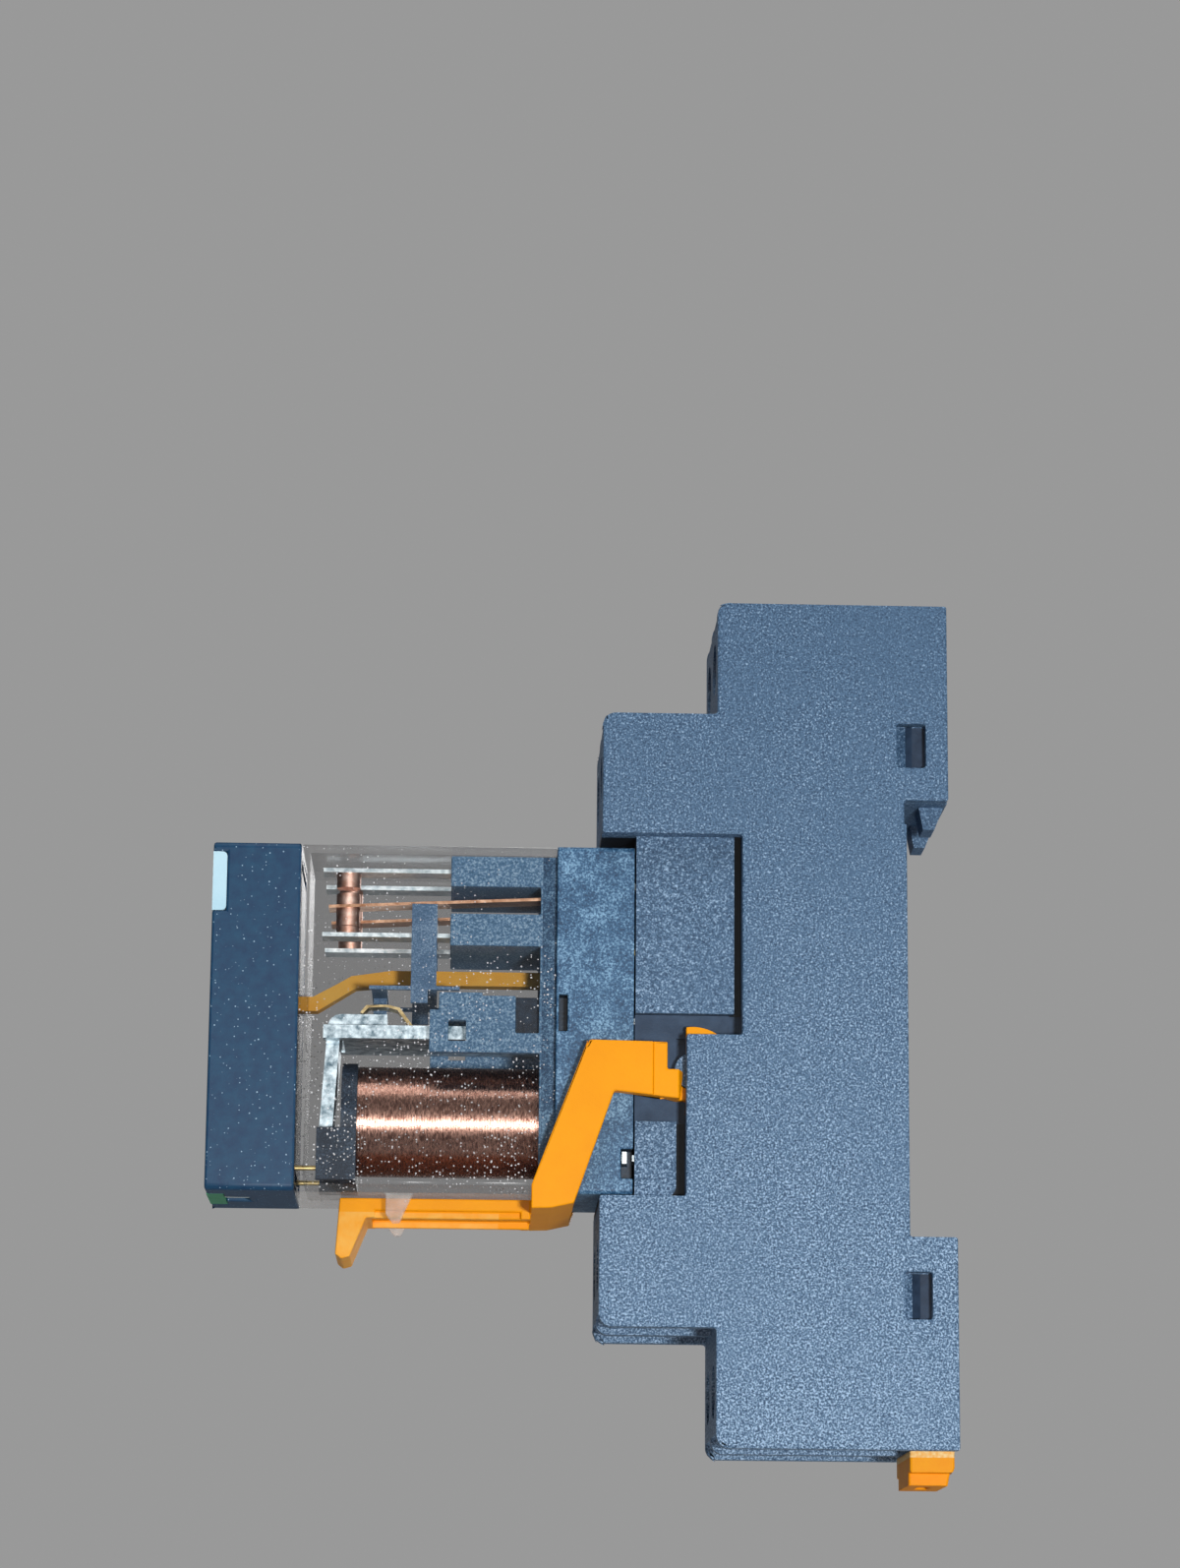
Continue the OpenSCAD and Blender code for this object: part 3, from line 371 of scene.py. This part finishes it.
# Painted shade: the floors of the cheek pockets are painted dark.
slit = (-0.0289, -0.0280, -0.0015, 0.0018, 0.0003)
recess = (-0.0324, -0.0303, -0.0015, 0.0040, 0.0009)
corner_notch = (-0.0250, -0.0226, -0.0150, -0.0108, 0.0003)
for x_low, x_high, z_low, z_high, depth in (slit, recess, corner_notch):
    patch_over(blue, (x_low, through, z_low), (x_high, cheek_y - depth, z_high), 0.0004,
               [(0.3, "#0E1D2B"), (0.7, "#22384C")])
dress("relay_base", blue)
soften("relay_base", 0.0001)

# Blades and contact strips: tinned brass, stamped and bent, pressed into the base;
# the rivets are of a rosy contact metal, and the moving blades of springy copper alloy.
tinned = turned_metal("tinned", "#A4B6BE", "#F4FBFC", 0.36)
dress("coil_blades", tinned)
dress("common_blades", brass)
dress("break_contact_strips", tinned)
dress("make_contact_strips", tinned)
rosy = turned_metal("rosy_silver", "#E0A084", "#FFE0D0", 0.42)
dress("fixed_rivets", rosy)
dress("moving_rivets", rosy)
dress("moving_blades", turned_metal("spring_copper", "#B98260", "#EBC0A0", 0.34))

# Coil: enamelled copper wire wound on a dark moulded bobbin, with an iron core. The top
# layer is one wire in single turns; a smooth cylinder stands for the layers below it.
dress("bobbin", scuffed_plastic("bobbin_blue", "#1E2A38", "#2A3A4B", "#5A7086"))
low, high = (Vector(c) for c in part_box("coil_winding"))
coil_r = (high.z - low.z) / 2
coil_z = (high.z + low.z) / 2
wire = 0.00013
flatness = 0.36
turns = int((high.x - low.x) / wire) - 1
steps_around = 40
bpy.ops.object.select_all(action="DESELECT")
bpy.ops.mesh.primitive_circle_add(
    vertices=6, radius=wire / 2,
    location=(low.x + wire, 0, coil_z + coil_r - wire * flatness / 2),
    rotation=(math.pi / 2, 0, 0))
coil = bpy.context.object
coil.name = "coil_turns"
coil.data.name = "coil_turns"
coil.scale = (1, flatness, 1)
bpy.ops.object.transform_apply(location=True, rotation=True, scale=True)
centre = bpy.data.objects.new("coil_axis", None)
centre.location = (0, 0, coil_z)
bpy.context.scene.collection.objects.link(centre)
wound = coil.modifiers.new("wound", "SCREW")
wound.axis = "X"
wound.object = centre
wound.angle = 2 * math.pi
wound.screw_offset = wire
wound.iterations = turns
wound.steps = steps_around
wound.render_steps = steps_around
wound.use_merge_vertices = False
bpy.context.view_layer.update()
bpy.ops.object.modifier_apply(modifier="wound")
bpy.data.objects.remove(centre)
bpy.ops.object.mode_set(mode="EDIT")
bpy.ops.mesh.select_all(action="SELECT")
bpy.ops.mesh.fill_holes(sides=0)
bpy.ops.mesh.select_all(action="SELECT")
bpy.ops.mesh.normals_make_consistent(inside=False)
bpy.ops.object.mode_set(mode="OBJECT")
bpy.ops.mesh.primitive_cylinder_add(
    vertices=48, radius=coil_r - wire * 0.3, depth=high.x - low.x - wire / 2,
    location=((low.x + high.x) / 2, 0, coil_z),
    rotation=(0, math.pi / 2, 0))
coil.select_set(True)
bpy.context.view_layer.objects.active = coil
bpy.ops.object.join()
bpy.ops.object.shade_smooth_by_angle(angle=math.radians(62))
copper = turned_metal("copper", "#70483C", "#D4A896", 0.26, 0.0004, (3, 1, 1))
coil.data.materials.clear()
coil.data.materials.append(copper)
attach(coil, "relay")
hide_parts("coil_winding")
dress("coil_core", zinc)
dress("coil_lead", brass)

# Iron: the bent yoke and the L-shaped armature, plated, with their brass spring.
plated = turned_metal("plated_iron", "#465E6A", "#E4F2F8", 0.46, 0.0007)
dress("yoke", plated)
dress("armature", plated)
dress("return_spring", turned_metal("spring_brass", "#B79A66", "#E8D2A0", 0.3))

# Card, lever and button: a blue moulded card between armature and blades, the
# orange test lever behind it and the orange button in the cap.
dress("actuator_card", scuffed_plastic("card_blue", "#45688A", "#5B80A4", "#A9C6E0"))
dress("test_lever", bright_plastic("lever_orange", "#FFB038", "#FFC860"))
dress("test_button", bright_plastic("button_orange", "#E8890C", "#F9A11A"))

# Cover: injection-moulded clear polycarbonate, a little smoky, hazier where it curves
# away and dustier towards the foot; its two catch lugs below carry a painted highlight,
# pale and less clear.
speck_spacing = 0.00028


def round_specks(made, where, share, radius, weight=None):
    """Round specks of mixed size, thrown at random; more of them where the weight is high."""
    pull = 1.2
    cells = add(made, "TexVoronoi", {"Vector": where, "Scale": 1 / speck_spacing}).outputs
    pick = add(made, "SeparateColor", {"Color": cells["Color"]}).outputs["Red"]
    if weight is not None:
        pick = scaled(made, scaled(made, weight, pull, pick), plus=-pull / 2)
    size = add(made, "MapRange", {"Value": pick, "From Min": 1 - share, "From Max": 1.0,
                                  "To Min": 0.0, "To Max": radius / speck_spacing})
    return add(made, "Math", {0: cells["Distance"], 1: size.outputs["Result"]},
               operation="LESS_THAN").outputs[0]


def specks_over(made, shader, specks, under, tone):
    """Colours a finish, with its specks in a tone of their own."""
    mixed = add(made, "Mix", {"Factor": specks}, data_type="RGBA")
    made.node_tree.links.new(under, mixed.inputs["A"])
    mixed.inputs["B"].default_value = shade(tone)
    join(made, mixed.outputs["Result"], shader, "Base Color")


clear, shader, where = start("clear_cover", 0.12)
shader.inputs["IOR"].default_value = 1.45
shader.inputs["Specular IOR Level"].default_value = 0.3
slant = add(clear, "LayerWeight", {"Blend": 0.35}).outputs["Facing"]
slant = add(clear, "Math", {0: slant, 1: 3.0}, operation="POWER").outputs[0]
height = add(clear, "SeparateXYZ", {"Vector": where}).outputs["Z"]
dustier_per_metre = -7.0
dusty = scaled(clear, height, dustier_per_metre, grain(clear, where, 0.006, 2.0))
dust = round_specks(clear, where, 0.36, 0.000075, dusty)
smoke = steps(clear, slant, [(0.0, "#232227"), (1.0, "#46362E")])
specks_over(clear, shader, dust, smoke, "#F4F4F6")
# Painted highlight: the catch lugs are given a pale colour and made less clear.
lug_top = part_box("relay_cover")[0][2] + 0.0024
lugs = patch_over(clear, (ahead, through, below), (behind, beyond, lug_top), 0.0008,
                  [(0.3, "#C8BEB4"), (0.7, "#F4EEE8")])
face_haze, edge_haze = 0.125, 0.55
haze = scaled(clear, slant, edge_haze, face_haze)
dust_cover = scaled(clear, dust, 0.7)
lug_highlight_veil = scaled(clear, lugs, 0.3)
for veil in (dust_cover, lug_highlight_veil):
    haze = add(clear, "Math", {0: haze, 1: veil}, operation="MAXIMUM").outputs[0]
join(clear, haze, shader, "Alpha")
dress("relay_cover", clear)
soften("relay_cover", 0.00015)

# Cap: dark blue moulding with fine pale specks, pushed over the cover's rim; it carries a
# white marker tag, a green window and the lamp behind it.


def specked_plastic(name, low, high, speck_tone):
    """Smooth dark moulding with fine pale specks."""
    made, shader, where = start(name, 0.5)
    shader.inputs["Specular IOR Level"].default_value = 0.25
    cloud = grain(made, where, 0.0009, 4.0, 0.65)
    dots = round_specks(made, where, 0.5, 0.000065)
    specks_over(made, shader, dots, steps(made, cloud, [(0.3, low), (0.7, high)]), speck_tone)
    relief(made, shader, cloud, 0.000012)
    return made


dress("relay_cap", specked_plastic("cap_blue", "#0F375A", "#174868", "#9CBAD0"))
soften("relay_cap", 0.0002)
dress("marker_tag", bright_plastic("tag_white", "#BFE6F6", "#CBEEFC"))
dress("status_window", bright_plastic("window_green", "#3C8A63", "#4FA077"))
dress("status_lamp", bright_plastic("lamp_clear", "#D8E4DC", "#EEF6F0"))
